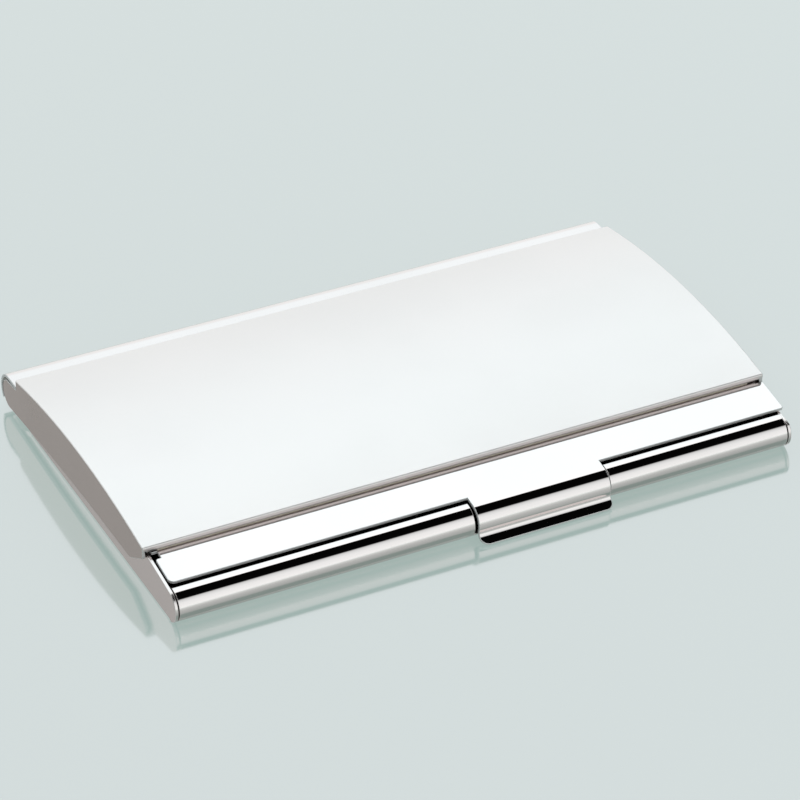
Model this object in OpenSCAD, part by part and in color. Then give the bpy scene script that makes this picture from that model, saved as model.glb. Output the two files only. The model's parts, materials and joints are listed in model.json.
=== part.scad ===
/* [Case] */
// Length over the cover's two end walls
case_len = 95; // [94:0.5:98]
// Depth from the lip of the tongue to the back of the hood
case_depth = 61.8; // [61:0.2:64]
// Height of the lid plate's top face
plate_top = 6.2; // [6.1:0.05:6.4]
// Thickness of the pressed steel sheet
sheet = 0.45; // [0.4:0.05:0.5]
// Side gap between the tray's walls and the cover's end walls
wall_gap = 0.15; // [0.12:0.01:0.2]
// Side gap between the lid plate and the tray's walls
plate_gap = 0.25; // [0.2:0.05:0.4]

/* [Cover] */
// Front edge of the cover, measured back from the lip of the tongue
cover_setback = 10.75; // [10:0.25:12]
// Depth of the cover, front edge to back edge
cover_depth = 45.15; // [44:0.05:45.2]
// Height of the cover's edges above the lid plate
cover_edge_h = 1.15; // [1.1:0.05:1.4]
// Rise of the cover's arch between its edges
cover_rise = 2.1; // [1.6:0.1:2.6]
// Radius that rounds the cover's front and back edges
cover_round = 0.6; // [0.5:0.05:0.7]
// Width of the turned-in flanges under the cover's edges
flange_w = 2.2; // [1.8:0.1:3]
// Thickness of the bonding tape under the flanges
tape_t = 0.15; // [0.1:0.05:0.2]

/* [Front] */
// Outer radius of the tray's rolled front
roll_r = 2.45; // [2.3:0.05:2.45]
// Gap between the end of the roll and the tray's wall beside it
roll_gap = 0.2; // [0.1:0.05:0.3]
// How far the lip of the tongue stands ahead of the roll
lip_reach = 1.6; // [1.4:0.1:1.8]
// Front edge of the lid plate, measured back from the lip
strip_setback = 4.9; // [4.8:0.1:5.2]
// Width of the tongue
tongue_w = 20.3; // [16:0.1:26]
// Tongue centre, measured from the middle of the case
tongue_x = 7.8; // [-16:0.2:16]
// Gap left of the tongue in the tray's notch
tongue_gap = 0.6; // [0.4:0.1:0.8]
// Gap right of the tongue in the tray's notch
tongue_gap_right = 0.15; // [0.1:0.05:0.8]
// Outer radius of the tongue's bend
tongue_r = 2.6; // [2.5:0.05:2.65]
// Angle to which the tongue follows its bend, from the top
tongue_turn = 103; // [100:1:105]
// Radius of the hollow between tongue and lip
lip_r = 0.9; // [0.8:0.05:1]
// Slope of the lip
lip_slope = 18; // [14:1:18]
// Corner radius of the lip
lip_corner = 1.1; // [1:0.1:2.4]
// Right edge of the front strip, short of the case's own right end
strip_inset = 0.1; // [0.05:0.05:0.3]
// Height at which the notch in the tray ends
notch_z = 1.1; // [0.8:0.1:1.1]

/* [Hinge] */
// Outer radius of the hood that rolls over the hinge
hood_r = 3; // [2.95:0.05:3]
// Angle below level at which the hood ends
hood_end = 35; // [30:1:36]
// Radius of the hinge rod
rod_r = 0.6; // [0.5:0.05:0.7]
// Running clearance round the rod
rod_fit = 0.05; // [0.02:0.01:0.08]
// Outer radius of the tray's hinge trough
trough_r = 2.25; // [2.2:0.05:2.25]
// Radius of the cover's ears
ear_r = 2.2; // [2:0.05:2.3]

/* [Lifter] */
// Thickness of the card lifter
lifter_t = 0.3; // [0.2:0.05:0.35]
// Underside of the lifter above the ground
lifter_z = 0.9; // [0.85:0.05:1]
// Radius of the thumb cut-out at the lifter's front edge
thumb_r = 9; // [6:0.5:12]
// Width of each knuckle on the lifter
knuckle_w = 9; // [6:1:12]
// Distance of the outer knuckles from the middle
knuckle_x = 35; // [30:1:38]
// Distance of the springs from the middle
spring_x = 20; // [14:1:24]
// Wire diameter of the springs
wire_d = 0.3; // [0.25:0.01:0.32]
// Length of each spring's coil
coil_len = 3; // [2:0.2:4]

/* [Hidden] */
$fn = 96;
eps = 0.01;
half_len = case_len / 2;
front_y = -case_depth / 2;
back_y = case_depth / 2;

// the tray's walls stand inside the cover's end walls, the lid plate drops between them
wall_out = half_len - sheet - wall_gap;
wall_in = wall_out - sheet;
plate_half = wall_in - plate_gap;
plate_under = plate_top - sheet;

// the walls' rims lie below the plate's top face, the right one lower still where the strip stands over it
rim_drop = 0.2;
low_rim_drop = 0.6;

// rolled front of the tray, and the tongue's bend just proud of it
roll = [front_y + lip_reach + roll_r, roll_r];
tongue = [roll.x - 0.15, tongue_r - 0.2];
tongue_lo = tongue_x - tongue_w / 2;
tongue_hi = tongue_x + tongue_w / 2;

// hinge axis
pivot = [back_y - hood_r, plate_top - hood_r];

// cover
cover_front = front_y + cover_setback;
cover_back = cover_front + cover_depth;
cover_mid = (cover_front + cover_back) / 2;
cover_edge = plate_top + cover_edge_h;
arch_r = (pow(cover_depth / 2, 2) + pow(cover_rise, 2)) / (2 * cover_rise);
arch_z = cover_edge + cover_rise - arch_r;

// the front strip runs down from the cover's edge and meets the tongue's bend at a tangent
strip_start = [cover_front, plate_top];
to_tongue = strip_start - tongue;
strip_slope = atan2(to_tongue.y, to_tongue.x) - asin(tongue_r / norm(to_tongue));

// the floor slopes up to the hinge trough, where the hood passes under it
trough_start = -140;
trough_end = 25;
ramp_y = pivot.x - 6.3;
trough_out = pivot + trough_r * [cos(trough_start), sin(trough_start)];
trough_in = pivot + (trough_r - sheet) * [cos(trough_start), sin(trough_start)];
ramp_slope = atan2(trough_out.y, trough_out.x - ramp_y);
ramp_to_pivot = (pivot.x - ramp_y) * cos(ramp_slope) + pivot.y * sin(ramp_slope);

// lifter
lifter_half = wall_in - 0.3;
lifter_front = roll.x + 1.1;
ramp_gap = 0.25;
knuckle_wall = 0.35;
knuckle_r = rod_r + rod_fit + knuckle_wall;
window_gap = 0.6;

// springs
coil_in = rod_r + 0.15;
coil_mid = coil_in + wire_d / 2;
leg_z = (sheet + lifter_z) / 2;
leg_bend_y = ramp_y + 0.1;
leg_front_y = ramp_y - 6.5;

// point on a line that runs parallel to the ramp, d above its outer face
function ramp_point(along, d) =
    [ramp_y + along * cos(ramp_slope) - d * sin(ramp_slope), along * sin(ramp_slope) + d * cos(ramp_slope)];

// where that line crosses the height z
function ramp_cross(z, d) =
    [ramp_y - d * sin(ramp_slope) + (z - d * cos(ramp_slope)) / tan(ramp_slope), z];

// points of an arc from angle a0 to angle a1
function arc(c, r, a0, a1, n) = [for (i = [0:n]) c + r * [cos(a0 + (a1 - a0) * i / n), sin(a0 + (a1 - a0) * i / n)]];

// stretches a side-view outline (y, z) from x0 to x1
module across(x0, x1) {
    translate([x0, 0, 0])
        rotate([90, 0, 90])
            linear_extrude(x1 - x0)
                children();
}

// ring of sheet between two angles, seen from the side
module bend(c, r_out, t, a0, a1) {
    translate(c)
        intersection() {
            difference() {
                circle(r_out);
                circle(r_out - t);
            }
            polygon(concat([[0, 0]], arc([0, 0], 2 * r_out, a0, a1, 8)));
        }
}

// side view of the tray's floor and hinge trough
module tray_section() {
    trough_overlap = 3;
    polygon([[roll.x, 0], [ramp_y, 0], trough_out, trough_in,
             trough_out + sheet * [-sin(ramp_slope), cos(ramp_slope)],
             ramp_cross(sheet, sheet), [roll.x, sheet]]);
    bend(pivot, trough_r, sheet, trough_start - trough_overlap, trough_end);
}

// side view of a tray wall: it follows the roll's outside, and beside the front strip its rim lies strip_drop
// below the strip's top face
module wall_section(strip_drop) {
    hub_inset = 0.1;
    back_fall = 4;
    back_edge = 0.6;
    step_y = cover_front + 0.9;
    front_edge = roll.x + 0.25;
    rim_front = plate_top - strip_drop - (cover_front - front_edge) * tan(strip_slope);
    difference() {
        union() {
            polygon([[roll.x, 0], [ramp_y, 0], ramp_point(ramp_to_pivot - 1.5, 0), pivot,
                     pivot + (trough_r - 0.4) * [cos(115), sin(115)],
                     [cover_back - back_edge, pivot.y + trough_r - hub_inset],
                     [cover_back - back_fall, plate_top - rim_drop], [step_y, plate_top - rim_drop],
                     [cover_front, plate_top - strip_drop], [front_edge, rim_front],
                     [roll.x, min(rim_front, 2 * roll_r)]]);
            intersection() {
                translate(roll)
                    circle(roll_r);
                translate([roll.x - roll_r, 0])
                    square([roll_r + eps, min(rim_front, 2 * roll_r)]);
            }
            translate(pivot)
                circle(trough_r - hub_inset);
        }
        translate(pivot)
            circle(rod_r + rod_fit);
    }
}

module base_tray() color([0.66, 0.63, 0.62]) {
    across(-wall_in, wall_in)
        tray_section();
    difference() {
        across(roll_gap - wall_in, wall_in - roll_gap)
            bend(roll, roll_r, sheet, 90, 270);
        // notch that lets the tongue down into the roll
        translate([tongue_lo - tongue_gap, front_y, notch_z])
            cube([tongue_w + tongue_gap + tongue_gap_right, roll.x - front_y + 1, plate_top]);
    }
    across(-wall_out, -wall_in)
        wall_section(rim_drop);
    across(wall_in, wall_out)
        wall_section(low_rim_drop);
}

// side view of the lifter; reach is how close its back edge comes to the hinge axis
module lifter_section(reach) {
    low = sheet + ramp_gap;
    high = low + lifter_t;
    polygon([[lifter_front, lifter_z], ramp_cross(lifter_z, low), ramp_point(ramp_to_pivot - reach, low),
             ramp_point(ramp_to_pivot - reach, high), ramp_cross(lifter_z + lifter_t, high),
             [lifter_front, lifter_z + lifter_t]]);
}

module card_lifter() color([0.78, 0.79, 0.8]) {
    difference() {
        across(-lifter_half, lifter_half)
            lifter_section(knuckle_r + 0.1);
        translate([0, lifter_front, 0])
            cylinder(r = thumb_r, h = plate_top);
        // windows for the springs
        for (side = [-1, 1])
            translate([side * spring_x - coil_len / 2 - window_gap, leg_bend_y - 0.9, 0])
                cube([coil_len + 2 * window_gap, hood_r * 3, plate_top]);
    }
    for (x = [-knuckle_x, 0, knuckle_x])
        across(x - knuckle_w / 2, x + knuckle_w / 2) {
            lifter_section(rod_r + rod_fit + 0.1);
            bend(pivot, knuckle_r, knuckle_wall, 0, 360);
        }
}

// round wire in the side plane at x, from point a to point b
module wire(x, a, b) {
    run = b - a;
    translate([x, a.x, a.y])
        rotate([-90 + atan2(run.y, run.x), 0, 0])
            cylinder(d = wire_d, h = norm(run), $fn = 24);
}

// torsion spring: a coil round the hinge rod and two legs that pass under the lifter
module lifter_spring(x) {
    start = pivot + coil_mid * [-0.35, 0.94];
    knee = [leg_bend_y, leg_z];
    across(x - coil_len / 2, x + coil_len / 2)
        bend(pivot, coil_in + wire_d, wire_d, 0, 360);
    for (side = [-1, 1]) {
        leg_x = x + side * (coil_len - wire_d) / 2;
        wire(leg_x, start, knee);
        translate([leg_x, knee.x, knee.y])
            sphere(d = wire_d, $fn = 24);
        wire(leg_x, knee, [leg_front_y, leg_z]);
    }
}

module lifter_spring_left() color([0.55, 0.56, 0.58])
    lifter_spring(-spring_x);

module lifter_spring_right() color([0.55, 0.56, 0.58])
    lifter_spring(spring_x);

// side view of the lid plate: lip, tongue, sloping strip, flat plate and hood
module plate_section() {
    neck = tongue + tongue_r * [cos(90 + tongue_turn), sin(90 + tongue_turn)];
    hollow = neck + lip_r * [cos(90 + tongue_turn), sin(90 + tongue_turn)];
    lip = hollow + lip_r * [cos(lip_slope - 90), sin(lip_slope - 90)];
    lip_len = (lip.x - front_y) / cos(lip_slope);
    strip_len = norm(to_tongue) * cos(asin(tongue_r / norm(to_tongue)));
    // the lip's sheet hangs below its top face, the hollow's sheet lies outside its radius
    translate(lip)
        rotate(180 + lip_slope)
            translate([-eps, 0])
                square([lip_len + eps, sheet]);
    bend(hollow, lip_r + sheet, sheet, lip_slope - 90, tongue_turn - 89.5);
    bend(tongue, tongue_r, sheet, 89.5 + strip_slope, 90 + tongue_turn);
    translate(strip_start)
        rotate(180 + strip_slope)
            square([strip_len, sheet]);
    polygon([strip_start, strip_start - [0.3, 0.3], strip_start + sheet * [sin(strip_slope), -cos(strip_slope)],
             [cover_front + 1, plate_under], [cover_front + 1, plate_top]]);
    translate([cover_front + 0.9, plate_under])
        square([pivot.x - cover_front - 0.9 + eps, sheet]);
    bend(pivot, hood_r, sheet, -hood_end, 90);
}

// square with its two front corners rounded, front edge at y0
module round_front(x0, x1, y0, y1, r) {
    translate([x0, y0 + r])
        square([x1 - x0, y1 - y0 - r]);
    translate([x0 + r, y0])
        square([x1 - x0 - 2 * r, r + eps]);
    for (x = [x0 + r, x1 - r])
        translate([x, y0 + r])
            circle(r);
}

// plan view of the lid plate
module plate_plan() {
    relief = [0.8, 1.5];
    left_corner = 0.8;
    right_corner = 0.3;
    cover_gap = 0.1;
    strip_front = front_y + strip_setback;
    difference() {
        round_front(-plate_half, plate_half, strip_front, cover_back + 0.1, left_corner);
        // relief at the left, where the flat plate drops between the cover's end walls
        translate([-plate_half, cover_front + 0.25 - relief.y])
            square(relief);
    }
    // the strip's right end stands over the tray's wall
    round_front(0, half_len - strip_inset, strip_front, cover_front - cover_gap, right_corner);
    round_front(tongue_lo, tongue_hi, front_y, strip_front + 1, lip_corner);
    translate([-half_len, cover_back + 0.05])
        square([case_len, back_y - cover_back]);
}

module lid_plate() color([0.93, 0.95, 0.95])
    intersection() {
        across(-half_len, half_len)
            plate_section();
        translate([0, 0, -1])
            linear_extrude(plate_top + 2)
                plate_plan();
    }

// side view of the space under the arch, drawn in by the amount d
module cover_arch(d) {
    round_r = cover_round - d;
    arch = arch_r - d;
    round_z = arch_z + sqrt(pow(arch - round_r, 2) - pow(cover_depth / 2 - cover_round, 2));
    intersection() {
        translate([cover_mid, arch_z])
            circle(arch, $fn = 720);
        translate([cover_front + cover_round, plate_top])
            square([cover_depth - 2 * cover_round, cover_rise * 3]);
    }
    intersection() {
        for (y = [cover_front + cover_round, cover_back - cover_round])
            translate([y, round_z])
                circle(round_r);
        translate([cover_front, round_z])
            square([cover_depth, cover_round]);
    }
    translate([cover_front + d, plate_top])
        square([cover_depth - 2 * d, round_z - plate_top]);
}

// side view of the cover's end wall: arch, crescent below it and hinge ear
module end_section() {
    low_y = cover_front + 5.6;
    low_z = 2.95;
    low_r = (pow(pivot.x - low_y, 2) + pow(low_z - pivot.y + ear_r, 2)) / 2 / (low_z - pivot.y + ear_r);
    fillet_r = 3;
    tip_angle = 30;
    fillet_end = [low_y, low_z + fillet_r] - fillet_r * [sin(tip_angle), cos(tip_angle)];
    tip_z = fillet_end.y + (fillet_end.x - cover_front) * tan(tip_angle);
    cover_arch(0);
    polygon(concat(
        [[cover_front, plate_top + eps], [cover_front, tip_z]],
        arc([low_y, low_z + fillet_r], fillet_r, 270 - tip_angle, 270, 8),
        [for (i = [1:12]) let (y = low_y + (pivot.x - low_y) * i / 12)
            [y, low_z - low_r + sqrt(low_r * low_r - pow(y - low_y, 2))]],
        [pivot, [pivot.x, pivot.y + ear_r], [cover_back, plate_under - 0.1], [cover_back, plate_top + eps]]));
    translate(pivot)
        circle(ear_r);
}

module dome_cover() color([0.97, 0.98, 0.98]) {
    flange_z = plate_top + tape_t;
    difference() {
        across(-half_len, half_len)
            cover_arch(0);
        across(sheet - half_len, half_len - sheet)
            difference() {
                cover_arch(sheet);
                for (y = [cover_front, cover_back - flange_w - sheet])
                    translate([y, flange_z])
                        square([flange_w + sheet, sheet]);
            }
    }
    for (x = [-half_len, half_len - sheet])
        across(x, x + sheet)
            difference() {
                end_section();
                translate(pivot)
                    circle(rod_r);
            }
}

module cover_tape(y) {
    translate([-plate_half + 1, y, plate_top])
        cube([2 * plate_half - 2, flange_w - 0.2, tape_t]);
}

module cover_tape_front() color([0.85, 0.83, 0.75])
    cover_tape(cover_front + sheet);

module cover_tape_rear() color([0.85, 0.83, 0.75])
    cover_tape(cover_back - sheet - flange_w + 0.2);

module hinge_rod() color([0.7, 0.71, 0.72])
    across(-half_len, half_len)
        translate(pivot)
            circle(rod_r);

base_tray();
card_lifter();
lifter_spring_left();
lifter_spring_right();
lid_plate();
dome_cover();
cover_tape_front();
cover_tape_rear();
hinge_rod();
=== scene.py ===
"""Business card case: a pressed, chrome-plated tray and a hinged lid with an arched cover and a tongue."""
import json
import math

import bpy
import numpy as np
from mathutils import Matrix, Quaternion, Vector


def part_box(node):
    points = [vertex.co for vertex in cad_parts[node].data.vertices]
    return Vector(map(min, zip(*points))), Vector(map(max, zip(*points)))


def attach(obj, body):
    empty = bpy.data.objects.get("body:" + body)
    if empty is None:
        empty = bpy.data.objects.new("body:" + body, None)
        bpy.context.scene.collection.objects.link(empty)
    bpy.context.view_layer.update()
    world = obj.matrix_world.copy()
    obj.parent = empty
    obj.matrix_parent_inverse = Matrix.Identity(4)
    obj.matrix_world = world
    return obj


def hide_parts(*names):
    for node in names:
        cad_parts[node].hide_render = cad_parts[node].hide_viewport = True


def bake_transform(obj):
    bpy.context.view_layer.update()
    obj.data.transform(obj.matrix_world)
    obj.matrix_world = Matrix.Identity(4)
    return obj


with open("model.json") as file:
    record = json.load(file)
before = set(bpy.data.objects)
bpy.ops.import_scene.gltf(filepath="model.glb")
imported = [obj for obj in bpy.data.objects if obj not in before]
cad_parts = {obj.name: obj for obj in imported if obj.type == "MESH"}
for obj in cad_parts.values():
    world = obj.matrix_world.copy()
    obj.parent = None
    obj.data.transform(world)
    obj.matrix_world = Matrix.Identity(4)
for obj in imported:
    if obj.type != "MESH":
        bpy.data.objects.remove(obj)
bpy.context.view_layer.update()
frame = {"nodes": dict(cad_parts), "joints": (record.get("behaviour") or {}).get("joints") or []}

MM = 0.001
deg = math.radians


# ---------------------------------------------------------------- camera
def make_camera(azimuth, elevation, roll, target, distance, lens):
    """A long lens that looks at the target: azimuth from -Y, elevation from level, roll about the view."""
    level = math.cos(elevation)
    back = Vector((math.sin(azimuth) * level, -math.cos(azimuth) * level, math.sin(elevation)))
    data = bpy.data.cameras.new("camera")
    data.sensor_width = 36.0
    data.lens = lens
    data.clip_start, data.clip_end = 0.01, 20.0
    camera = bpy.data.objects.new("camera", data)
    bpy.context.scene.collection.objects.link(camera)
    camera.location = target + back * distance
    turn = Quaternion(back, roll) @ (-back).to_track_quat("-Z", "Y")
    camera.rotation_euler = turn.to_euler()
    bpy.context.scene.camera = camera


make_camera(deg(-26.57), deg(33.56), deg(0.16), Vector((0.93, 1.03, 4.04)) * MM, 545.1 * MM, 174.2)

# ---------------------------------------------------------------- sizes
# what the frame holds
tray_lo, tray_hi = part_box("base_tray")
plate_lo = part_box("lid_plate")[0]
cover_lo, cover_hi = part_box("dome_cover")
lifter_lo, lifter_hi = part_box("card_lifter")
spring_lo, spring_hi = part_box("lifter_spring_right")
rod_lo, rod_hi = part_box("hinge_rod")
tape_lo, tape_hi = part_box("cover_tape_front")
hinge = next(j for j in frame["joints"] if j["name"] == "lid_hinge")
PIVOT = np.array(hinge["pos_m"][1:])

# what a maker adds to it: bends, corners and gaps
SHEET = 0.45 * MM
RIM = 0.09 * MM
HALF_LEN = cover_hi.x
WALL_OUT = tray_hi.x
PLATE_HALF = WALL_OUT - SHEET - 0.25 * MM
PLATE_TOP = tape_lo.z
FRONT_Y = plate_lo.y

ROLL_R = 2.45 * MM
ROLL = np.array([tray_lo.y + ROLL_R, ROLL_R])
TONGUE_R = 2.6 * MM
TONGUE = ROLL + np.array([-0.15, -0.05]) * MM
TONGUE_MID = 7.8 * MM
TONGUE_HALF = 10.15 * MM
TONGUE_TURN = deg(103)
NOTCH_LO = TONGUE_MID - TONGUE_HALF - 0.6 * MM + RIM
NOTCH_HI = TONGUE_MID + TONGUE_HALF + 0.15 * MM + RIM
NOTCH_Z = 1.1 * MM
HOLLOW_R = 0.9 * MM
LIP_SLOPE = deg(26)
LIP_THIN = 0.28 * MM
LIP_CORNER = 1.1 * MM
STRIP_FRONT = FRONT_Y + 4.9 * MM
STRIP_CORNER = 0.8 * MM
STRIP_RIGHT = cover_hi.x - 0.1 * MM - RIM
END_CORNER = 0.25 * MM
ROLL_GAP = 0.15 * MM
RIM_DROP = 0.2 * MM
LOW_RIM_DROP = 0.6 * MM
CREASE_R = 0.8 * MM

COVER_FRONT = cover_lo.y
COVER_DEPTH = 45.15 * MM
COVER_BACK = COVER_FRONT + COVER_DEPTH
COVER_MID = (COVER_FRONT + COVER_BACK) / 2
COVER_ROUND = 0.25 * MM
COVER_RISE = 2.1 * MM
ARCH_R = ((COVER_DEPTH / 2) ** 2 + COVER_RISE ** 2) / (2 * COVER_RISE)
ARCH = np.array([COVER_MID, cover_hi.z - ARCH_R])
FLANGE_W = 2.2 * MM
FLANGE_Z = tape_hi.z

HOOD_R = PLATE_TOP - PIVOT[1]
HOOD_END = deg(35)
TROUGH_R = 2.25 * MM
TROUGH_END = deg(25)
RAMP_Y = PIVOT[0] - 6.3 * MM
EAR_R = -(cover_lo.z - PIVOT[1])
ROD_R = (rod_hi.z - rod_lo.z) / 2


# ---------------------------------------------------------------- sheet metal
def away(phi):
    """Outward direction of a skin in (y, z): (-sin phi, cos phi). Zero looks up, a quarter turn forward."""
    return np.stack([-np.sin(phi), np.cos(phi)], -1)


def along(phi):
    """Direction in which a skin is followed: (-cos phi, -sin phi), over the top and down the front."""
    return np.stack([-np.cos(phi), -np.sin(phi)], -1)


def trace(start, phi, *moves):
    """Side view of a skin as rows (y, z, phi, way gone). A run (d,) adds d along(phi). A bend (r, end) turns
    phi evenly to end: the skin moves by r (away(new) - away(old)), with r taken as negative in a hollow."""
    points, turns = [np.array(start, float)[None]], [np.array([phi], float)]
    for move in moves:
        here = points[-1][-1]
        if len(move) == 1:
            points.append(here[None] + move[0] * along(phi))
            turns.append(np.array([phi]))
            continue
        radius, end = move
        turned = np.linspace(phi, end, 2 + int(abs(end - phi) / deg(2)))[1:]
        points.append(here + math.copysign(radius, end - phi) * (away(turned) - away(phi)))
        turns.append(turned)
        phi = end
    points, turns = np.concatenate(points), np.concatenate(turns)
    gone = np.concatenate([[0], np.cumsum(np.linalg.norm(np.diff(points, axis=0), axis=1))])
    return np.column_stack([points, turns, gone])


def at(side, gone):
    """Points (y, z) and turns phi of a traced side view where its way gone has the given values."""
    point = np.stack([np.interp(gone, side[:, 3], side[:, i]) for i in (0, 1)], -1)
    return point, np.interp(gone, side[:, 3], side[:, 2])


def skins(side, gone, x, thick=SHEET):
    """Outer skin, inner skin and normal of a sheet that keeps its side view all along x. gone and x are
    grids: outer = (x, side view at gone), inner = outer - thick normal, normal = (0, away(phi))."""
    gone, x = np.broadcast_arrays(gone, x)
    point, phi = at(side, gone)
    outer = np.concatenate([x[..., None], point], -1)
    normal = np.concatenate([np.zeros(x.shape + (1,)), away(phi)], -1)
    return outer, outer - np.asarray(thick)[..., None] * normal, normal


def folded_ends(side, gone, half, sign, outer_r, inner_r, thick=SHEET, steps=5):
    """Bend that joins a side view to an upright end wall at x = sign half. b goes from 0 to a quarter turn:
    outer = side view drawn in by outer_r (1 - cos b), x = half - outer_r (1 - sin b); the inner skin does
    the same with inner_r, from a side view drawn in by thick. normal = away(phi) cos b + x sin b."""
    b = np.linspace(0, math.pi / 2, steps + 1)
    b = b if sign > 0 else b[::-1]
    point, phi = at(side, gone)
    inward = -away(phi)[:, None, :]

    def skin(depth, radius):
        flat = point[:, None, :] + inward * (depth + radius * (1 - np.cos(b)))[None, :, None]
        x = np.broadcast_to(sign * (half - depth - radius * (1 - np.sin(b))), flat.shape[:2])
        return np.concatenate([x[..., None], flat], -1)

    lean = np.broadcast_to(sign * np.sin(b), phi.shape + b.shape)
    normal = np.concatenate([lean[..., None], -inward * np.cos(b)[None, :, None]], -1)
    return skin(0, outer_r), skin(thick, inner_r), normal


def spread(*stops, step):
    """Values from the first stop to the last, at most step apart, with every stop among them."""
    counts = [max(1, math.ceil((b - a) / step - 1e-6)) for a, b in zip(stops, stops[1:])]
    parts = [np.linspace(a, b, 1 + n)[:-1] for a, b, n in zip(stops, stops[1:], counts)]
    return np.concatenate(parts + [[stops[-1]]])


def round_steps(start, end, count=10):
    """Values from start to end, closest together at the end: start + (end - start) sin b."""
    b = np.linspace(0, math.pi / 2, count + 1)
    return start + (end - start) * np.sin(b)


FACE, RIM_FINISH, END_WALL = 0, 1, 2


class Sheet:
    """A piece of sheet as an outer and an inner skin, with a rounded rim wherever the outer skin ends. Its
    finishes are numbered: FACE, RIM_FINISH and END_WALL."""

    def __init__(self):
        self.outer, self.inner, self.normal, self.faces, self.count = [], [], [], [], 0

    def points(self, outer, inner, normal):
        """Takes in grids or lists of points, and returns their numbers in the same arrangement."""
        shape = outer.shape[:-1]
        for store, new in ((self.outer, outer), (self.inner, inner), (self.normal, normal)):
            store.append(np.broadcast_to(new, outer.shape).reshape(-1, 3))
        number = self.count + np.arange(int(np.prod(shape))).reshape(shape)
        self.count += number.size
        return number

    def patch(self, outer, inner, normal, keep=None):
        """Adds a grid, rows along the side view and columns along x. keep tells which of its cells exist."""
        n = self.points(outer, inner, normal)
        cells = np.stack([n[:-1, :-1], n[1:, :-1], n[1:, 1:], n[:-1, 1:]], -1)
        self.faces.append((cells.reshape(-1, 4) if keep is None else cells[keep], FACE))

    def wall(self, outline, within, sign, x, thick=SHEET):
        """Adds a flat end wall at x from its outer and inner outlines (y, z)."""
        side = np.full((len(outline), 1), x)
        number = self.points(np.hstack([side, outline]), np.hstack([side - sign * thick, within]),
                             np.array([sign, 0.0, 0.0]))
        following = np.roll(outline, -1, axis=0)
        area = np.sum(outline[:, 0] * following[:, 1] - outline[:, 1] * following[:, 0])
        self.faces.append((number[None] if area * sign > 0 else number[None, ::-1], END_WALL))

    def welded(self):
        """Faces by their number of corners, after points in one place have become one point."""
        same_place = 1e-4 * MM
        whole = np.round(np.concatenate(self.outer) / same_place).astype(np.int64)
        _, first, place = np.unique(whole, axis=0, return_index=True, return_inverse=True)
        place = place.ravel()
        groups = []
        for faces, finish in self.faces:
            faces = place[faces]
            if faces.shape[1] == 4:
                same = faces == np.roll(faces, 1, axis=1)
                groups.append((faces[same.sum(1) == 0], finish))
                three = same.sum(1) == 1
                groups.append((faces[three][~same[three]].reshape(-1, 3), finish))
            else:
                groups.append((faces, finish))
        groups = [g for g in groups if len(g[0])]
        used, renumbered = np.unique(np.concatenate([g.ravel() for g, _ in groups]), return_inverse=True)
        cuts = np.cumsum([g.size for g, _ in groups])[:-1]
        parts = np.split(renumbered.ravel(), cuts)
        groups = [(part.reshape(g.shape), finish) for part, (g, finish) in zip(parts, groups)]
        pick = first[used]
        return [np.concatenate(store)[pick] for store in (self.outer, self.inner, self.normal)], groups

    def make(self, name, rim=RIM, rings=4):
        """The finished mesh. Along the rim, from outer to inner skin, the edge goes round two quarter circles
        of radius rim: depth = rim (1 - cos a), reach = rim sin a, normal = cos a normal + sin a outward.
        Outward is the mean of the two rim edges that meet, or the edge's own way out at a sharp corner."""
        sharp, longest = deg(22), 2.5
        (outer, inner, normal), groups = self.welded()
        size = len(outer)
        edges = np.concatenate([np.stack([g, np.roll(g, -1, axis=1)], -1).reshape(-1, 2) for g, _ in groups])
        ends = edges[~np.isin(edges @ [size, 1], edges @ [1, size])]
        way = outer[ends[:, 1]] - outer[ends[:, 0]]
        way /= np.linalg.norm(way, axis=1, keepdims=True)
        out_of, into = np.zeros((size, 3)), np.zeros((size, 3))
        out_of[ends[:, 0]] = np.cross(way, normal[ends[:, 0]])
        into[ends[:, 1]] = np.cross(way, normal[ends[:, 1]])
        reach = (out_of + into) / np.maximum(1 / longest, 1 + np.sum(out_of * into, 1, keepdims=True))
        outward = np.stack([out_of[ends[:, 0]], into[ends[:, 1]]], 1)
        mean = unit(reach[ends])
        blunt = np.sum(mean * outward, 2, keepdims=True) > math.cos(sharp)
        outward = np.where(blunt, mean, outward)

        rim_points = np.unique(ends)
        order = np.full(size, -1)
        order[rim_points] = np.arange(len(rim_points))
        through = unit(outer - inner)
        turns = np.linspace(0, math.pi / 2, rings + 1)
        loops, ladder, leans = [], [ends], [(normal[ends], outward, 0.0)]
        for skin, side, steps in ((outer, -1, turns[1:]), (inner, 1, turns[:0:-1])):
            for a in steps:
                ladder.append(2 * size + len(loops) * len(rim_points) + order[ends])
                sunk = skin + side * through * rim * (1 - math.cos(a))
                loops.append((sunk + reach * rim * math.sin(a))[rim_points])
                leans.append((-side * normal[ends], outward, a))
        ladder.append(ends + size)
        leans.append((-normal[ends], outward, 0.0))
        levels = [facing * math.cos(a) + out * math.sin(a) for facing, out, a in leans]

        faces = [g for g, _ in groups] + [g[:, ::-1] + size for g, _ in groups]
        shades = [normal[g] for g, _ in groups] + [-normal[g[:, ::-1]] for g, _ in groups]
        finishes = [finish for _, finish in groups] * 2 + [RIM_FINISH] * (len(ladder) - 1)
        for rungs, store, axis in ((ladder, faces, -1), (levels, shades, 1)):
            for upper, lower in zip(rungs, rungs[1:]):
                store.append(np.stack([upper[:, 1], upper[:, 0], lower[:, 0], lower[:, 1]], axis))
        return mesh_object(name, np.concatenate([outer, inner] + loops), faces, shades, finishes)


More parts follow.
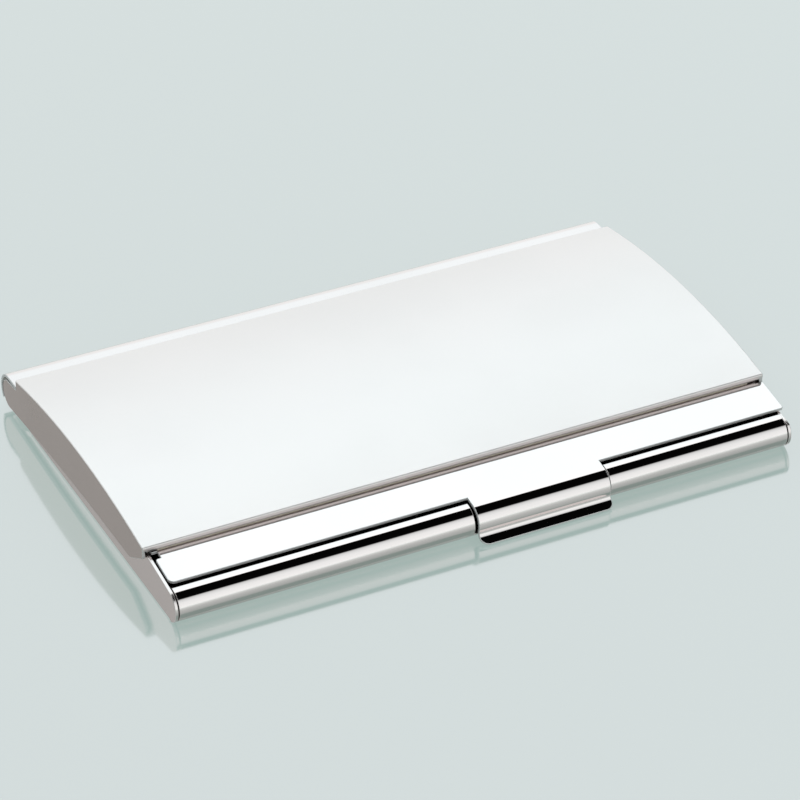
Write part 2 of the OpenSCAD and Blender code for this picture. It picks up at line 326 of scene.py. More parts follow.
def mesh_object(name, points, faces, shades, finishes):
    """An object at the origin from points and groups of faces with equal corners, with a normal for each
    corner of each face and a finish for each group."""
    mesh = bpy.data.meshes.new(name)
    corners = np.concatenate([f.ravel() for f in faces]).astype(np.int32)
    sizes = np.concatenate([np.full(len(f), f.shape[1]) for f in faces]).astype(np.int32)
    mesh.vertices.add(len(points))
    mesh.vertices.foreach_set("co", points.astype(np.float32).ravel())
    mesh.loops.add(len(corners))
    mesh.loops.foreach_set("vertex_index", corners)
    mesh.polygons.add(len(sizes))
    mesh.polygons.foreach_set("loop_start", (np.cumsum(sizes) - sizes).astype(np.int32))
    finish_of_each = np.repeat(finishes, [len(f) for f in faces]).astype(np.int32)
    mesh.polygons.foreach_set("material_index", finish_of_each)
    mesh.update(calc_edges=True)
    mesh.polygons.foreach_set("use_smooth", np.ones(len(sizes), bool))
    mesh.normals_split_custom_set(unit(np.concatenate([n.reshape(-1, 3) for n in shades])).tolist())
    mesh.update()
    thing = bpy.data.objects.new(name, mesh)
    bpy.context.scene.collection.objects.link(thing)
    return thing


def unit(vectors):
    """Vectors of length one."""
    return vectors / np.maximum(np.linalg.norm(vectors, axis=-1, keepdims=True), 1e-12)


def soft_corners(corners, radius, steps=8):
    """An open line (y, z) through the corners, each inner one replaced with an arc of that radius. The arc
    starts radius tan(turn / 2) before the corner, and its centre is radius to the side it turns to."""
    corners = np.array(corners, float)
    before, after = unit(corners[1:-1] - corners[:-2]), unit(corners[2:] - corners[1:-1])
    cross = before[:, 0] * after[:, 1] - before[:, 1] * after[:, 0]
    turn = np.arctan2(cross, np.sum(before * after, 1))
    radius = np.broadcast_to(radius, turn.shape)
    start = corners[1:-1] - before * (radius * np.tan(abs(turn) / 2))[:, None]
    side = np.sign(turn)[:, None] * np.stack([-before[:, 1], before[:, 0]], -1)
    part = np.linspace(0, 1, steps + 1)[None, :, None]
    bent = abs(turn)[:, None, None] * part
    arcs = (start[:, None] + radius[:, None, None] * (before[:, None] * np.sin(bent)
                                                      + side[:, None] * (1 - np.cos(bent))))
    return np.concatenate([corners[:1], arcs.reshape(-1, 2), corners[-1:]])


def arc(centre, radius, start, end, count=24):
    """Points centre + radius (cos a, sin a), with a even from start to end."""
    a = np.linspace(start, end, count + 1)
    return centre + radius * np.stack([np.cos(a), np.sin(a)], -1)


# ---------------------------------------------------------------- surroundings
def socket_value(tree, value, socket):
    """Links a node's output or writes a number to a socket."""
    if isinstance(value, bpy.types.NodeSocket):
        tree.links.new(value, socket)
    else:
        socket.default_value = value


def calc(tree, operation, *values):
    """One Math node's output."""
    node = tree.nodes.new("ShaderNodeMath")
    node.operation = operation
    for i, value in enumerate(values):
        socket_value(tree, value, node.inputs[i])
    return node.outputs[0]


def ramp_up(tree, value, low, high):
    """Smooth step of a value from 0 at low to 1 at high."""
    node = tree.nodes.new("ShaderNodeMapRange")
    node.interpolation_type = "SMOOTHSTEP"
    socket_value(tree, value, node.inputs["Value"])
    node.inputs["From Min"].default_value = low
    node.inputs["From Max"].default_value = high
    return node.outputs[0]


def make_world():
    """A white studio with black flags overhead, right and left of the middle, and dark sides. Brightness is a
    function of a direction's lean towards the front, atan2(-y, z), and of how far it points aside, |x|."""
    world = bpy.data.worlds.new("studio")
    bpy.context.scene.world = world
    world.use_nodes = True
    tree = world.node_tree
    place = tree.nodes.new("ShaderNodeTexCoord")
    split = tree.nodes.new("ShaderNodeSeparateXYZ")
    tree.links.new(place.outputs["Generated"], split.inputs[0])
    lean = calc(tree, "ARCTAN2", calc(tree, "MULTIPLY", split.outputs["Y"], -1.0), split.outputs["Z"])
    aside = calc(tree, "ABSOLUTE", split.outputs["X"])
    strength = 2.0
    low, high = -180.0, 180.0
    panels = [(-122, (0.36, 0.4, 0.4)), (-98, (1.0, 1.05, 1.05)), (-75, (1.23, 1.28, 1.28)),
              (-56, (1.35, 1.51, 1.55)), (-34, (1.5, 1.73, 1.78)), (-12, (1.62, 1.72, 1.72)),
              (43, (0.75, 0.8, 0.8)), (50, (1.04, 1.13, 1.14)), (64, (1.24, 1.33, 1.34)),
              (86, (1.33, 1.42, 1.42)), (130, (0.8, 0.85, 0.85))]
    spot = tree.nodes.new("ShaderNodeMapRange")
    tree.links.new(lean, spot.inputs["Value"])
    spot.inputs["From Min"].default_value, spot.inputs["From Max"].default_value = deg(low), deg(high)
    shades = tree.nodes.new("ShaderNodeValToRGB")
    tree.links.new(spot.outputs[0], shades.inputs[0])
    elements = shades.color_ramp.elements
    for i, (angle, colour) in enumerate(panels):
        element = elements[i] if i < 2 else elements.new(1.0)
        element.position = (angle - low) / (high - low)
        element.color = (*(c / strength for c in colour), 1)
    # black flags between these leans, left and right of the middle, and black where a direction points aside
    overhead = calc(tree, "MULTIPLY", ramp_up(tree, lean, deg(-12.5), deg(-9.0)),
                    ramp_up(tree, lean, deg(44), deg(38)))
    between = calc(tree, "MULTIPLY", ramp_up(tree, aside, 0.14, 0.2), ramp_up(tree, aside, 0.66, 0.6))
    flags = calc(tree, "MULTIPLY", overhead, between)
    dark = calc(tree, "MAXIMUM", flags, ramp_up(tree, aside, 0.76, 0.86))
    mix = tree.nodes.new("ShaderNodeMix")
    mix.data_type = "RGBA"
    tree.links.new(dark, mix.inputs["Factor"])
    tree.links.new(shades.outputs["Color"], mix.inputs["A"])
    mix.inputs["B"].default_value = (0.001, 0.001, 0.001, 1)
    tree.links.new(mix.outputs["Result"], tree.nodes["Background"].inputs["Color"])
    tree.nodes["Background"].inputs["Strength"].default_value = strength


def make_floor():
    """A large flat square at z = 0: smooth pale glass, lit softly from below."""
    reach = 4.0
    corners = np.array([[-reach, -reach, 0], [reach, -reach, 0], [reach, reach, 0], [-reach, reach, 0]])
    floor = mesh_object("floor", corners, [np.array([[0, 1, 2, 3]])], [np.tile([0.0, 0.0, 1.0], (4, 1))], [0])
    material = bpy.data.materials.new("studio_floor")
    material.use_nodes = True
    shader = material.node_tree.nodes["Principled BSDF"]
    shader.inputs["Base Color"].default_value = (0.1, 0.105, 0.105, 1)
    shader.inputs["Roughness"].default_value = 0.09
    shader.inputs["IOR"].default_value = 2.6
    shader.inputs["Specular Tint"].default_value = (1, 0.75, 0.8, 1)
    shader.inputs["Emission Color"].default_value = (0.29, 0.38, 0.355, 1)
    shader.inputs["Emission Strength"].default_value = 1.0
    floor.data.materials.append(material)


bpy.context.scene.view_settings.view_transform = "Standard"
make_world()
make_floor()


# ---------------------------------------------------------------- finishes
def grain_group():
    """Shader group for metal that has been polished along x and then handled. Roughness = Base, plus Haze
    where a broad noise is high, plus Streak times a noise drawn out along x. Height is the drawn-out noise
    and 0.4 of a fine one."""
    group = bpy.data.node_groups.new("polish_grain", "ShaderNodeTree")
    for name in ("Base", "Haze", "Streak", "Fineness", "Length"):
        group.interface.new_socket(name, in_out="INPUT", socket_type="NodeSocketFloat")
    for name in ("Roughness", "Height"):
        group.interface.new_socket(name, in_out="OUTPUT", socket_type="NodeSocketFloat")
    given, out = group.nodes.new("NodeGroupInput"), group.nodes.new("NodeGroupOutput")
    place = group.nodes.new("ShaderNodeTexCoord").outputs["Object"]

    def noise(scale, detail, vector):
        node = group.nodes.new("ShaderNodeTexNoise")
        node.inputs["Detail"].default_value = detail
        socket_value(group, scale, node.inputs["Scale"])
        group.links.new(vector, node.inputs["Vector"])
        return node.outputs[0]

    drawn = group.nodes.new("ShaderNodeVectorMath")
    drawn.operation = "DIVIDE"
    lengths = group.nodes.new("ShaderNodeCombineXYZ")
    group.links.new(given.outputs["Length"], lengths.inputs[0])
    lengths.inputs[1].default_value = lengths.inputs[2].default_value = 1.0
    group.links.new(place, drawn.inputs[0])
    group.links.new(lengths.outputs[0], drawn.inputs[1])
    streak = noise(given.outputs["Fineness"], 4.0, drawn.outputs[0])
    fine = noise(calc(group, "MULTIPLY", given.outputs["Fineness"], 5.0), 2.0, place)
    smudge = ramp_up(group, noise(70.0, 3.0, place), 0.45, 0.75)
    rough = calc(group, "MULTIPLY_ADD", smudge, given.outputs["Haze"], given.outputs["Base"])
    rough = calc(group, "MULTIPLY_ADD", calc(group, "SUBTRACT", streak, 0.5), given.outputs["Streak"], rough)
    group.links.new(rough, out.inputs["Roughness"])
    group.links.new(calc(group, "MULTIPLY_ADD", fine, 0.4, streak), out.inputs["Height"])
    return group


def tone_group():
    """Shader group for slight clouds of tone: Colour mixes Tone towards Cloud where a broad noise is high."""
    group = bpy.data.node_groups.new("tone_clouds", "ShaderNodeTree")
    for name in ("Tone", "Cloud"):
        group.interface.new_socket(name, in_out="INPUT", socket_type="NodeSocketColor")
    group.interface.new_socket("Scale", in_out="INPUT", socket_type="NodeSocketFloat")
    group.interface.new_socket("Colour", in_out="OUTPUT", socket_type="NodeSocketColor")
    given, out = group.nodes.new("NodeGroupInput"), group.nodes.new("NodeGroupOutput")
    node = group.nodes.new("ShaderNodeTexNoise")
    node.inputs["Detail"].default_value = 4.0
    group.links.new(group.nodes.new("ShaderNodeTexCoord").outputs["Object"], node.inputs["Vector"])
    group.links.new(given.outputs["Scale"], node.inputs["Scale"])
    mix = group.nodes.new("ShaderNodeMix")
    mix.data_type = "RGBA"
    group.links.new(ramp_up(group, node.outputs[0], 0.3, 0.7), mix.inputs["Factor"])
    group.links.new(given.outputs["Tone"], mix.inputs["A"])
    group.links.new(given.outputs["Cloud"], mix.inputs["B"])
    group.links.new(mix.outputs["Result"], out.inputs["Colour"])
    return group


GRAIN, CLOUDS = grain_group(), tone_group()


def finish(name, tone, cloud, metallic, base, haze, streak, fineness, length, depth, scale=40.0):
    """A material: clouds of tone, polish grain in its roughness, and a relief of that depth in metres."""
    material = bpy.data.materials.new(name)
    material.use_nodes = True
    tree = material.node_tree
    shader = tree.nodes["Principled BSDF"]
    shader.inputs["Metallic"].default_value = metallic
    clouds = tree.nodes.new("ShaderNodeGroup")
    clouds.node_tree = CLOUDS
    clouds.inputs["Tone"].default_value = (*tone, 1)
    clouds.inputs["Cloud"].default_value = (*cloud, 1)
    clouds.inputs["Scale"].default_value = scale
    tree.links.new(clouds.outputs["Colour"], shader.inputs["Base Color"])
    grain = tree.nodes.new("ShaderNodeGroup")
    grain.node_tree = GRAIN
    given = {"Base": base, "Haze": haze, "Streak": streak, "Fineness": fineness, "Length": length}
    for socket, value in given.items():
        grain.inputs[socket].default_value = value
    tree.links.new(grain.outputs["Roughness"], shader.inputs["Roughness"])
    bump = tree.nodes.new("ShaderNodeBump")
    bump.inputs["Distance"].default_value = depth
    tree.links.new(grain.outputs["Height"], bump.inputs["Height"])
    tree.links.new(bump.outputs["Normal"], shader.inputs["Normal"])
    return material


mirror_chrome = finish("mirror_chrome", (0.67, 0.61, 0.6), (0.65, 0.595, 0.585), 1.0,
                       0.035, 0.02, 0.02, 900.0, 12.0, 1e-7)
pearl_chrome = finish("pearl_chrome", (0.68, 0.63, 0.62), (0.665, 0.62, 0.61), 1.0,
                      0.4, 0.02, 0.05, 1500.0, 1.0, 1e-6)
cut_edge = finish("cut_edge", (0.6, 0.585, 0.58), (0.56, 0.545, 0.54), 0.4,
                  0.45, 0.05, 0.1, 1500.0, 20.0, 1e-6)
# painted shade: the tray's end walls are the same sheet as the floor and roll, but get a darker, pinker copy
# of its chrome tone that stands in for the shade on these side faces
tray_end_painted_shade = finish("tray_end_satin_painted_shade", (0.54, 0.437, 0.418), (0.52, 0.42, 0.4), 1.0,
                  0.22, 0.03, 0.05, 1200.0, 1.0, 1e-6)
tray_rim = finish("tray_rim_satin", (0.66, 0.6, 0.59), (0.64, 0.58, 0.57), 1.0,
                  0.2, 0.03, 0.05, 1500.0, 1.0, 1e-6)
# painted shade: the cover's end walls are the same sheet as the arch, but get a darker, pinker copy of its
# chrome tone that stands in for the shade on these side faces
cover_end_painted_shade = finish("cover_end_satin_painted_shade", (0.38, 0.29, 0.265), (0.36, 0.275, 0.25), 1.0,
                   0.25, 0.03, 0.05, 1200.0, 1.0, 1e-6)
lifter_satin = finish("lifter_satin", (0.62, 0.6, 0.59), (0.57, 0.56, 0.55), 1.0,
                      0.26, 0.04, 0.12, 700.0, 30.0, 2e-6)
spring_wire = finish("spring_wire", (0.42, 0.41, 0.4), (0.34, 0.33, 0.33), 1.0,
                     0.3, 0.05, 0.1, 2500.0, 1.0, 2e-6)
ground_rod = finish("ground_rod", (0.6, 0.59, 0.58), (0.52, 0.51, 0.5), 1.0,
                    0.2, 0.05, 0.15, 3000.0, 0.2, 1e-6)
bonding_tape = finish("bonding_tape", (0.72, 0.69, 0.58), (0.66, 0.63, 0.52), 0.0,
                      0.6, 0.1, 0.1, 2500.0, 1.0, 1e-5, 300.0)


# ---------------------------------------------------------------- pieces
def ramp_line():
    """Slope of the ramp, which leaves the floor at RAMP_Y and heads for the trough's circle at -140 degrees,
    and the hinge axis measured along the ramp and across it."""
    meeting = deg(-140)
    out = PIVOT + TROUGH_R * np.array([math.cos(meeting), math.sin(meeting)])
    slope = math.atan2(out[1], out[0] - RAMP_Y)
    rel = PIVOT - np.array([RAMP_Y, 0])
    return slope, rel @ [math.cos(slope), math.sin(slope)], rel @ [-math.sin(slope), math.cos(slope)]


def into_circle(axis, height, fillet, radius):
    """Way along the ramp at which a straight skin at that height over it ends, and the turn phi at which a
    fillet hands it over to a circle round the axis. The fillet's centre is fillet + radius from the axis."""
    slope, run, across = axis
    drop = across - (height - fillet)
    back = math.sqrt((fillet + radius) ** 2 - drop ** 2)
    lean = slope + math.pi + math.atan2(drop, back)
    return run - back, lean - math.pi / 2


def make_tray():
    """Floor with a rolled front and a hinge trough in one side view, folded up into two end walls."""
    sheet = Sheet()
    inner_r, fillet, hub_inset = 0.06 * MM, 0.6 * MM, 0.1 * MM
    back_edge, back_fall, step_len, rim_slope = 0.6 * MM, 4 * MM, 0.9 * MM, deg(9.64)
    roll = trace(ROLL + [0, ROLL_R], 0, (ROLL_R, math.pi))
    notch_turn = math.acos(NOTCH_Z / ROLL_R - 1)
    gone = spread(0, notch_turn * ROLL_R, roll[-1, 3], step=0.15 * MM)
    flat_half = WALL_OUT - SHEET
    roll_half = flat_half - ROLL_GAP - RIM
    x = spread(-roll_half, NOTCH_LO, NOTCH_HI, roll_half, step=2 * MM)
    outer, inner, normal = skins(roll, gone[:, None], x[None])
    middle = (x[1:] + x[:-1]) / 2
    height = (outer[1:, 0, 2] + outer[:-1, 0, 2]) / 2
    keep = ~((height[:, None] > NOTCH_Z) & ((middle > NOTCH_LO) & (middle < NOTCH_HI))[None])
    sheet.patch(outer, inner, normal, keep)

    axis = ramp_line()
    ramp_end, hand_over = into_circle(axis, 0, fillet, TROUGH_R)
    cut = CREASE_R * math.tan(axis[0] / 2)
    side = trace(roll[-1, :2], math.pi, (RAMP_Y - ROLL[0] - cut,), (CREASE_R, math.pi + axis[0]),
                 (ramp_end - cut,), (fillet, hand_over), (TROUGH_R, TROUGH_END + deg(270)))
    gone = np.unique(np.concatenate([side[:, 3], spread(0, side[-1, 3], step=2 * MM)]))
    sheet.patch(*skins(side, gone[:, None], np.array([[-flat_half, *x, flat_half]])))
    for sign in (-1, 1):
        outer, inner, normal = folded_ends(side, gone, WALL_OUT, sign, SHEET, inner_r)
        sheet.patch(outer, inner, normal)
        edge = 0 if sign < 0 else -1
        trough = arc(PIVOT, TROUGH_R - SHEET, TROUGH_END, deg(100))
        rim_z, low_z = PLATE_TOP - RIM_DROP - RIM, PLATE_TOP - LOW_RIM_DROP - RIM
        nose_start, nose_end = deg(99) if sign < 0 else deg(135), deg(252)
        nose = arc(ROLL, ROLL_R - RIM, nose_start, nose_end)
        # the left rim runs straight to the nose, the right one steps down and follows the strip
        if sign < 0:
            front = [[COVER_FRONT, rim_z], nose[0]]
            radii = [0.5, 4, 4]
        else:
            fall = (COVER_FRONT - ROLL[0]) * math.tan(rim_slope)
            front = [[COVER_FRONT + step_len, rim_z], [COVER_FRONT, low_z], [ROLL[0], low_z - fall], nose[0]]
            radii = [0.5, 4, 0.2, 0.2, 0.2]
        top = soft_corners([trough[-1], [COVER_BACK - back_edge, PIVOT[1] + TROUGH_R - hub_inset],
                            [COVER_BACK - back_fall, rim_z], *front], np.array(radii) * MM)
        rim = np.concatenate([trough[1:-1], top, nose[1:]])
        sheet.wall(np.concatenate([outer[:, edge, 1:], rim]), np.concatenate([inner[:, edge, 1:], rim]),
                   sign, sign * WALL_OUT)
    return sheet.make("tray_shell")


def make_plate():
    """Hood, flat plate, sloping strip, tongue and lip in one side view, cut to its plan."""
    sheet = Sheet()
    strip = np.array([COVER_FRONT, PLATE_TOP]) - TONGUE
    reach = math.hypot(*strip)
    slope = math.atan2(strip[1], strip[0]) - math.asin(TONGUE_R / reach)
    strip_len = math.sqrt(reach ** 2 - TONGUE_R ** 2)
    cut = CREASE_R * math.tan(slope / 2)
    neck = TONGUE + TONGUE_R * away(TONGUE_TURN)
    lip_start = neck + HOLLOW_R * (away(TONGUE_TURN) - away(LIP_SLOPE))
    lip_len = (lip_start[0] - FRONT_Y) / math.cos(LIP_SLOPE) - RIM
    side = trace(PIVOT + HOOD_R * away(-HOOD_END - deg(90)), -HOOD_END - deg(90), (HOOD_R, 0.0),
                 (PIVOT[0] - COVER_FRONT - cut,), (CREASE_R, slope), (strip_len - cut,),
                 (TONGUE_R, TONGUE_TURN), (HOLLOW_R, LIP_SLOPE), (lip_len,))

    def way_to(y):
        """Way gone at which the top face passes y, between hood and tongue."""
        top = (side[:, 2] > -1e-9) & (side[:, 2] < slope + 1e-6)
        return np.interp(-y, -side[top, 0], side[top, 3])

    # the plate is full width behind the cover, and a relief is cut from back to front at its left corner
    full, side_back = way_to(COVER_BACK + 0.05 * MM), way_to(COVER_FRONT - 0.1 * MM - RIM)
    back, front = way_to(COVER_FRONT + 0.25 * MM), way_to(COVER_FRONT - 1.25 * MM)
    strip_end = way_to(STRIP_FRONT + RIM)
    lip_end, lip_back = side[-1, 3], side[-1, 3] - 2.1 * MM
    close = np.concatenate([
        side[:, 3], spread(0, full, back, side_back, front, strip_end, lip_back, lip_end, step=0.35 * MM)])
    close = close[(close >= back) | (close <= full)]
    rows = np.unique(np.concatenate([close, spread(full, back, step=4 * MM)]))
    lo, hi = TONGUE_MID - TONGUE_HALF + RIM, TONGUE_MID + TONGUE_HALF - RIM
    half = PLATE_HALF - RIM
    corner_x = half - STRIP_CORNER
    x = np.unique(np.concatenate([
        round_steps(-corner_x, -half), round_steps(STRIP_RIGHT - END_CORNER, STRIP_RIGHT),
        round_steps(lo + LIP_CORNER, lo, 14), round_steps(hi - LIP_CORNER, hi, 14),
        spread(-corner_x, lo, step=2 * MM), spread(lo + LIP_CORNER, hi - LIP_CORNER, step=1.5 * MM),
        spread(hi, half, step=2 * MM), [-HALF_LEN + RIM, HALF_LEN - RIM]]).round(9))
    gone = np.repeat(rows[:, None], len(x), 1)

    def round_off(past, radius):
        """How far a round corner draws its edge back where it is past the corner's start."""
        return radius - np.sqrt(np.maximum(radius ** 2 - np.clip(past, 0, radius) ** 2, 0))

    def shorten(start, end, past, radius, near):
        """Draws the rows from start to end back, more and more up to round_off at the end."""
        part = np.clip((rows - start) / (end - start), 0, 1) * (rows <= end + 1e-12)
        return part[:, None] * (round_off(past, radius) * near)[None]

    on_strip = x >= -half - 1e-9
    beside = np.maximum(lo + LIP_CORNER - x, x - (hi - LIP_CORNER))
    gone = gone - shorten(front, strip_end, -x - corner_x, STRIP_CORNER, on_strip)
    gone = gone - shorten(front, strip_end, x - STRIP_RIGHT + END_CORNER, END_CORNER, x <= STRIP_RIGHT + 1e-9)
    gone = gone - shorten(lip_back, lip_end, beside, LIP_CORNER, (x >= lo - 1e-9) & (x <= hi + 1e-9))
    gone = gone + (rows == front)[:, None] * (round_off(END_CORNER - half - x, END_CORNER) * on_strip)[None]
    thick = SHEET + (LIP_THIN - SHEET) * np.clip((gone - lip_back) / (lip_end - lip_back), 0, 1)
    outer, inner, normal = skins(side, gone, x[None], thick)
    r = (rows[1:] + rows[:-1])[:, None] / 2
    m = (x[1:] + x[:-1])[None] / 2
    flat = (r > full) & (r < side_back) & (abs(m) < half)
    strip_part = (r > side_back) & (r < strip_end) & (m > -half) & (m < STRIP_RIGHT)
    relief = (r > back) & (r < front) & (m < -corner_x)
    tongue = (r > strip_end) & (m > lo) & (m < hi)
    keep = (r < full) | ((flat | strip_part) & ~relief) | tongue
    sheet.patch(outer, inner, normal, keep)
    return sheet.make("lid_shell")


def make_cover():
    """Flanges, hems and arch in one side view, folded down into end walls with a crescent edge and an ear."""
    sheet = Sheet()
    bend_r, end_r, inner_r = 0.5 * MM, 0.22 * MM, 0.04 * MM
    hub = ARCH[1] + math.sqrt((ARCH_R - COVER_ROUND) ** 2 - (COVER_DEPTH / 2 - COVER_ROUND) ** 2)
    lean = math.asin((COVER_DEPTH / 2 - COVER_ROUND) / (ARCH_R - COVER_ROUND))
    hem = hub - FLANGE_Z - bend_r
    flange = FLANGE_W - bend_r - RIM
    quarter = math.pi / 2
    side = trace([COVER_BACK - FLANGE_W + RIM, FLANGE_Z], -2 * quarter, (flange,), (bend_r, -quarter), (hem,),
                 (COVER_ROUND, -lean), (ARCH_R, lean), (COVER_ROUND, quarter),
                 (hem,), (bend_r, 2 * quarter), (flange,))
    hem_start = side[side[:, 2] < -quarter + 1e-6][-2, 3]
    hem_end = side[-1, 3] - hem_start
    gone = np.concatenate([side[:, 3], spread(0, hem_start, hem_end, side[-1, 3], step=1.5 * MM)])
    gone = np.unique(gone.round(12))
    upper = gone[(gone > hem_start - 1e-9) & (gone < hem_end + 1e-9)]
    flange_half = HALF_LEN - SHEET - 0.1 * MM - RIM
    flat_half = HALF_LEN - end_r
    x = spread(-flat_half, -flange_half, flange_half, flat_half, step=3 * MM)
    outer, inner, normal = skins(side, gone[:, None], x[None])
    inner[:, [0, -1], 0] = np.array([-1, 1]) * (HALF_LEN - SHEET - inner_r)
    r = (gone[1:] + gone[:-1])[:, None] / 2
    m = (x[1:] + x[:-1])[None] / 2
    sheet.patch(outer, inner, normal, ((r > hem_start) & (r < hem_end)) | (abs(m) < flange_half))

    low = np.array([COVER_FRONT + 5.6 * MM, 2.95 * MM])
    fillet, tip, tip_r = 3 * MM, deg(30), 0.3 * MM
    shoulder_drop, shoulder_r = 0.55 * MM, 0.15 * MM
    fall = PIVOT - [0, EAR_R - RIM] - low
    low_r = (fall @ fall) / (-2 * fall[1])
    run = np.linspace(0, fall[0], 40)[1:-1]
    crescent = np.stack([low[0] + run, low[1] - low_r + np.sqrt(low_r ** 2 - run ** 2)], -1)
    turn = arc(low + [0, fillet], fillet, deg(270) - tip, deg(270), 10)
    for sign in (-1, 1):
        outer, inner, normal = folded_ends(side, upper, HALF_LEN, sign, end_r, inner_r)
        sheet.patch(outer, inner, normal)
        edge = 0 if sign < 0 else -1
        front_y, back_y = outer[-1, edge, 1], outer[0, edge, 1]
        tip_z = turn[0, 1] + (turn[0, 0] - front_y) * math.tan(tip)
        tip_edge = soft_corners([outer[-1, edge, 1:], [front_y, tip_z], turn[0]], tip_r)
        ear = arc(PIVOT, EAR_R - RIM, deg(-88), deg(92), 40)
        shoulder = soft_corners(
            [ear[-1], [back_y, PLATE_TOP - shoulder_drop], outer[0, edge, 1:]], shoulder_r)
        lower = np.concatenate([tip_edge[1:-1], turn, crescent, ear, shoulder[1:-1]])
        sheet.wall(np.concatenate([outer[:, edge, 1:], lower]), np.concatenate([inner[:, edge, 1:], lower]),
                   sign, sign * HALF_LEN)
    return sheet.make("cover_shell", rim=0.07 * MM)


def make_lifter():
    """Thin plate with a thumb cut, two windows and three rolled knuckles, in one side view."""
    sheet = Sheet()
    thick, rim = 0.3 * MM, 0.06 * MM
    axis = ramp_line()
    height, fillet, knuckle_r = SHEET + 0.25 * MM, 0.5 * MM, ROD_R + 0.4 * MM
    ramp_end, hand_over = into_circle(axis, height, fillet, knuckle_r)
    crease, slope, wrap = 1.2 * MM, axis[0], deg(285)
    front = lifter_lo.y + rim
    foot = RAMP_Y - height * math.sin(slope) + (lifter_lo.z - height * math.cos(slope)) / math.tan(slope)
    start_along = (foot - RAMP_Y) * math.cos(slope) + lifter_lo.z * math.sin(slope)
    cut = crease * math.tan(slope / 2)
    side = trace([front, lifter_lo.z], math.pi, (foot - front - cut,), (crease, math.pi + slope),
                 (ramp_end - start_along - cut,), (fillet, hand_over), (knuckle_r, hand_over + wrap))
    straight = side[:, 2] < math.pi + slope + 1e-6
    straight[np.argmax(~straight & (side[:, 3] > 0)):] = False
    window = np.interp(RAMP_Y - 0.8 * MM, side[straight, 0], side[straight, 3])
    sheet_end = side[straight, 3].max() - 0.1 * MM
    thumb, thumb_back = 9 * MM, 12 * MM
    stops = spread(0, thumb_back, window, sheet_end, side[-1, 3], step=2 * MM)
    rows = np.unique(np.concatenate([side[:, 3], stops]).round(12))
    half, clear = lifter_hi.x - rim, 0.6 * MM
    win_lo, win_hi = spring_lo.x - clear, spring_hi.x + clear
    knuckle_x, knuckle_half = 35 * MM, 4.5 * MM
    knuckles = [knuckle_x - knuckle_half, knuckle_x + knuckle_half]
    cut_x = round_steps(0, thumb, 24)
    beside = spread(thumb, win_lo, win_hi, *knuckles, half, step=3 * MM)
    right = np.concatenate([cut_x, [knuckle_half], beside])
    x = np.unique(np.concatenate([right, -right]).round(9))
    drawn = np.sqrt(np.maximum((thumb - rim) ** 2 - x ** 2, 0))
    part = np.clip(1 - rows / thumb_back, 0, 1)[:, None]
    outer, inner, normal = skins(side, rows[:, None] + part * drawn[None], x[None], thick)
    r = (rows[1:] + rows[:-1])[:, None] / 2
    m = abs(x[1:] + x[:-1])[None] / 2
    at_window = (m > win_lo) & (m < win_hi)
    at_knuckle = (m < knuckle_half) | ((m > knuckles[0]) & (m < knuckles[1]))
    sheet.patch(outer, inner, normal, ~((r > window) & at_window) & ((r < sheet_end) | at_knuckle))
    return sheet.make("lifter_plate", rim=rim, rings=3)


def tube(name, path, radius, sides=10):
    """Round wire along a path that is nowhere parallel to x. Each ring is path + radius (cos a side +
    sin a up), with side = x less its part along the path, and up square to both."""
    way = unit(np.gradient(path, axis=0))
    side = unit(np.array([1.0, 0, 0]) - way * way[:, :1])
    up = np.cross(way, side)
    a = np.linspace(0, 2 * math.pi, sides, endpoint=False)
    normal = np.cos(a)[None, :, None] * side[:, None] + np.sin(a)[None, :, None] * up[:, None]
    return revolved(name, path[:, None] + radius * normal, normal, np.stack([path[0], path[-1]]), way)


def revolved(name, rings, normal, tips, way):
    """A closed skin through rings of points, with a flat cap at each end."""
    count, sides = rings.shape[:2]
    n = np.arange(count * sides).reshape(count, sides)
    after = np.roll(n, -1, axis=1)
    cells = np.stack([n[:-1], after[:-1], after[1:], n[1:]], -1).reshape(-1, 4)
    first, last = count * sides, count * sides + 1
    caps = np.concatenate([np.stack([after[0], n[0], np.full(sides, first)], -1),
                           np.stack([n[-1], after[-1], np.full(sides, last)], -1)])
    flat = np.concatenate([np.broadcast_to(-way[0], (sides, 3, 3)), np.broadcast_to(way[-1], (sides, 3, 3))])
    points = np.concatenate([rings.reshape(-1, 3), tips])
    return mesh_object(name, points, [cells, caps], [normal.reshape(-1, 3)[cells], flat], [0, 0])


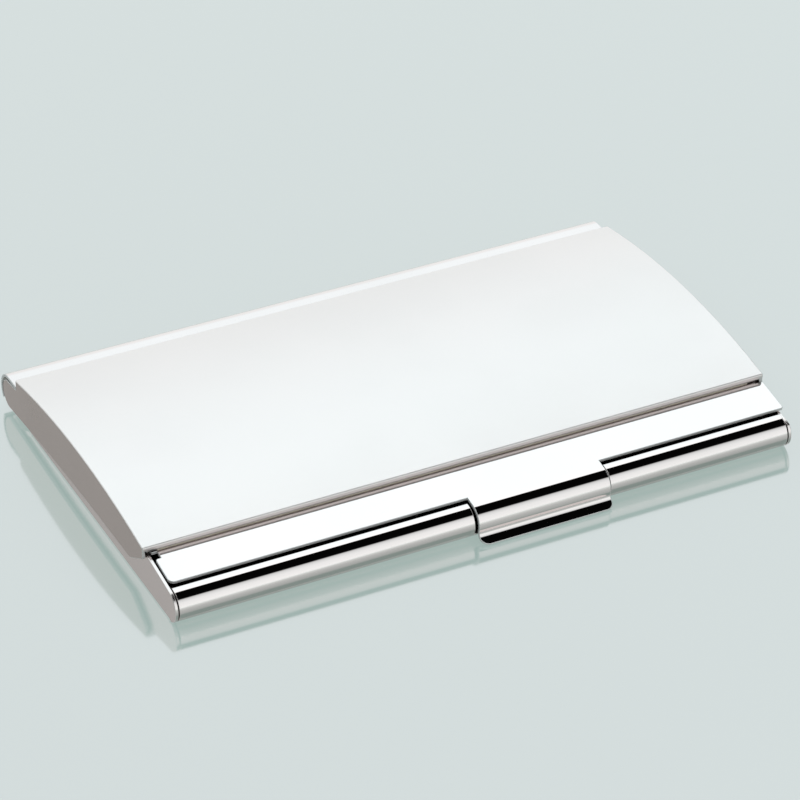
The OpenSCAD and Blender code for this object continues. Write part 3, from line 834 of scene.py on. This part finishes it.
def make_spring(name, lo, hi):
    """Torsion spring: a leg that runs back under the lifter and up over the rod, close turns round it, and
    a leg that leaves below and runs forward again. The coil is (y, z) = axis + coil_r (cos a, sin a), with x
    even along it."""
    wire, gap, turns = 0.14 * MM, 0.15 * MM, 9
    leg_r, rise_r, rise_len = 0.8 * MM, 0.6 * MM, 1.7 * MM
    coil_r = ROD_R + gap + wire
    x0, x1 = lo.x + gap, hi.x - gap
    leg_z = (SHEET + lifter_lo.z) / 2
    knee = np.array([RAMP_Y + 0.1 * MM, leg_z])
    foot = np.array([lo.y + wire, leg_z])
    to_knee = PIVOT - knee
    over = math.atan2(to_knee[1], to_knee[0]) + math.asin(coil_r / math.hypot(*to_knee)) + math.pi / 2
    under = deg(255)
    coil = arc(PIVOT, coil_r, over, under - 2 * math.pi * turns, 24 * turns - 1)
    coil_x = np.linspace(x0, x1, len(coil))
    rise = coil[-1] + rise_len * unit(coil[-1] - coil[-2])
    leg_in = soft_corners([foot, knee, coil[0]], leg_r)
    leg_out = soft_corners([coil[-1], rise, knee, foot], np.array([rise_r, leg_r]))
    path = np.concatenate([np.column_stack([np.full(len(leg_in) - 1, x0), leg_in[:-1]]),
                           np.column_stack([coil_x, coil]),
                           np.column_stack([np.full(len(leg_out) - 1, x1), leg_out[1:]])])
    return tube(name, path, wire)


def make_rod():
    """Straight pin turned about its axis: radius against x, with a small chamfer at each end."""
    chamfer, inset = 0.12 * MM, SHEET / 2
    length = rod_hi.x - inset
    x = np.array([-length, -length + chamfer, *np.linspace(-length + 2 * chamfer, length - 2 * chamfer, 30),
                  length - chamfer, length])
    r = np.full(len(x), ROD_R)
    r[[0, -1]] -= chamfer
    sides = 32
    a = np.linspace(0, 2 * math.pi, sides, endpoint=False)
    round_way = np.stack([np.zeros(sides), -np.sin(a), np.cos(a)], -1)
    rings = np.concatenate([np.broadcast_to(x[:, None, None], (len(x), sides, 1)),
                            PIVOT + r[:, None, None] * round_way[None, :, 1:]], -1)
    lean = np.zeros(len(x))
    lean[[0, -1]] = -0.7, 0.7
    normal = unit(round_way[None] + lean[:, None, None] * [1.0, 0, 0])
    tips = np.array([[-length, *PIVOT], [length, *PIVOT]])
    return revolved("rod", rings, normal, tips, np.array([[1.0, 0, 0]] * 2))


def dress(piece, body, node, slot, *materials):
    """Gives a piece its finishes, the body that it rides on, and the node that it stands for."""
    for material in materials:
        piece.data.materials.append(material)
    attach(piece, body)
    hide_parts(node)


# the tray's end walls take the painted-shade tone
dress(make_tray(), "base", "base_tray", "tray_steel", mirror_chrome, tray_rim, tray_end_painted_shade)
dress(make_plate(), "lid", "lid_plate", "lid_chrome", mirror_chrome, cut_edge)
# the cover's end walls take the painted-shade tone
dress(make_cover(), "lid", "dome_cover", "cover_chrome", pearl_chrome, cut_edge, cover_end_painted_shade)
dress(make_lifter(), "lifter", "card_lifter", "lifter_steel", lifter_satin, cut_edge)
dress(make_rod(), "lid", "hinge_rod", "rod_steel", ground_rod)
for name in ("lifter_spring_left", "lifter_spring_right"):
    spring_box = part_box(name)
    spring = make_spring(name.replace("lifter_", "") + "_wire", *spring_box)
    spring.data.materials.append(spring_wire)
    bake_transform(spring)
    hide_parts(name)
for name in ("cover_tape_front", "cover_tape_rear"):
    node = frame["nodes"][name]
    node.data.materials.clear()
    node.data.materials.append(bonding_tape)
